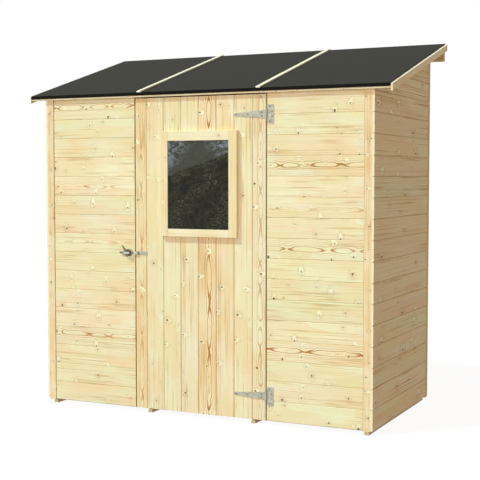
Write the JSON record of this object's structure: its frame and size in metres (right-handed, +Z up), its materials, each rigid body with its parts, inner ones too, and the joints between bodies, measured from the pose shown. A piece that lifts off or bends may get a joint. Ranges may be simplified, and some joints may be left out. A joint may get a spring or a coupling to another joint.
{
  "type": "garden shed",
  "caption": "Small wooden garden shed with a single-slope felt roof, plank walls and a hinged plank door with a glazed window, strap hinges and a hasp.",
  "frame": {"origin": "centre of the shed's bounding box, at the ground under its floor joists", "axes": "+X to the right along the front as seen from outside, +Y from the front to the back, +Z up"},
  "size_m": [2.2, 1.046, 2.1047],
  "materials": {
    "softwood": "untreated planed boards",
    "pale_wood": "pale planed trim",
    "floor_wood": "rough sawn",
    "roofing_felt": "mineral grit, matt",
    "galvanised_steel": "galvanised, dull",
    "glass": "clear"
  },
  "bodies": {
    "shed": {"back_bottom_rail": "softwood", "back_studs": "softwood", "back_wall": "softwood", "batten_left": "pale_wood", "batten_right": "pale_wood", "corner_post_back_left": "softwood", "corner_post_back_right": "softwood", "corner_post_front_left": "softwood", "corner_post_front_right": "softwood", "door_post_left": "softwood", "door_post_right": "softwood", "eave_board": "softwood", "felt_left": "roofing_felt", "felt_middle": "roofing_felt", "felt_right": "roofing_felt", "floor_deck": "floor_wood", "floor_joists": "floor_wood", "front_bottom_rails": "softwood", "front_top_rail": "softwood", "front_wall_left": "softwood", "front_wall_over_door": "softwood", "front_wall_right": "softwood", "hasp_staple": "galvanised_steel", "hinge_plate_lower": "galvanised_steel", "hinge_plate_upper": "galvanised_steel", "left_wall": "softwood", "rake_board_left": "pale_wood", "rake_board_right": "pale_wood", "rear_purlin": "softwood", "right_wall": "softwood", "roof_deck": "softwood", "side_bottom_rails": "softwood", "side_studs": "softwood", "side_top_rails": "softwood"},
    "door": {"door_boards": "softwood", "door_ledges": "softwood", "door_brace": "softwood", "window_frame": "pale_wood", "window_glass": "glass", "window_bead": "softwood", "hinge_strap_lower": "galvanised_steel", "hinge_strap_upper": "galvanised_steel", "hasp_hinge_plate": "galvanised_steel"},
    "hasp_arm": {"hasp_strap": "galvanised_steel"},
    "hasp_turn": {"hasp_knob": "galvanised_steel"}
  },
  "joints": [
    {"name": "door_swing", "type": "hinge", "parent": "shed", "child": "door", "pos_m": [0.4055, -0.503, 0.9], "axis": [0, 0, 1], "range_deg": [0, 170]},
    {"name": "hasp_swing", "type": "hinge", "parent": "door", "child": "hasp_arm", "pos_m": [-0.382, -0.503, 0.897], "axis": [0, 0, 1], "range_deg": [0, 150]},
    {"name": "knob_turn", "type": "hinge", "parent": "shed", "child": "hasp_turn", "pos_m": [-0.4445, -0.507, 0.897], "axis": [0, 1, 0], "range_deg": [0, 90]}
  ]
}
